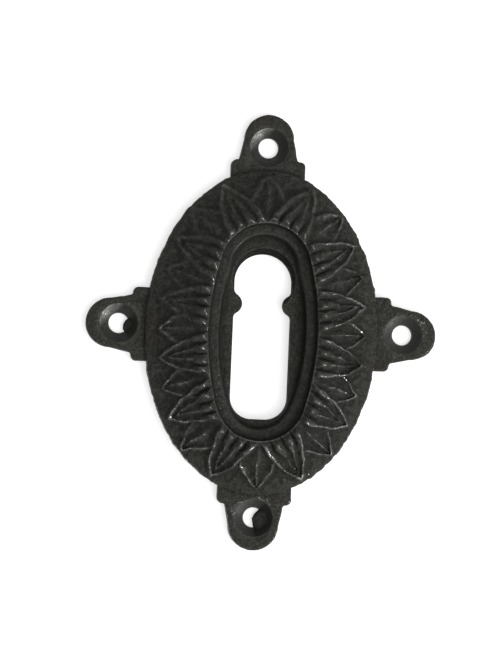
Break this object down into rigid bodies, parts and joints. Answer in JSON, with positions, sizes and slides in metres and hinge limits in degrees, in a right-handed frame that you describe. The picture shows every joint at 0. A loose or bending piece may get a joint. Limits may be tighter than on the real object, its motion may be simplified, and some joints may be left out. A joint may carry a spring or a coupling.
{
  "type": "keyhole escutcheon",
  "caption": "Oval cast-iron keyhole escutcheon with a wreath of pointed petals round a stepped well, and countersunk screw lugs at its ends and sides.",
  "frame": {"origin": "centre of the back face, which lies on the drawer front", "axes": "+Z out of the drawer front, +Y up along the keyhole, +X to the right seen from the front"},
  "size_m": [0.0512, 0.0636, 0.007],
  "materials": {
    "cast_iron": "satin"
  },
  "bodies": {
    "root": {"escutcheon": "cast_iron"}
  },
  "joints": []
}
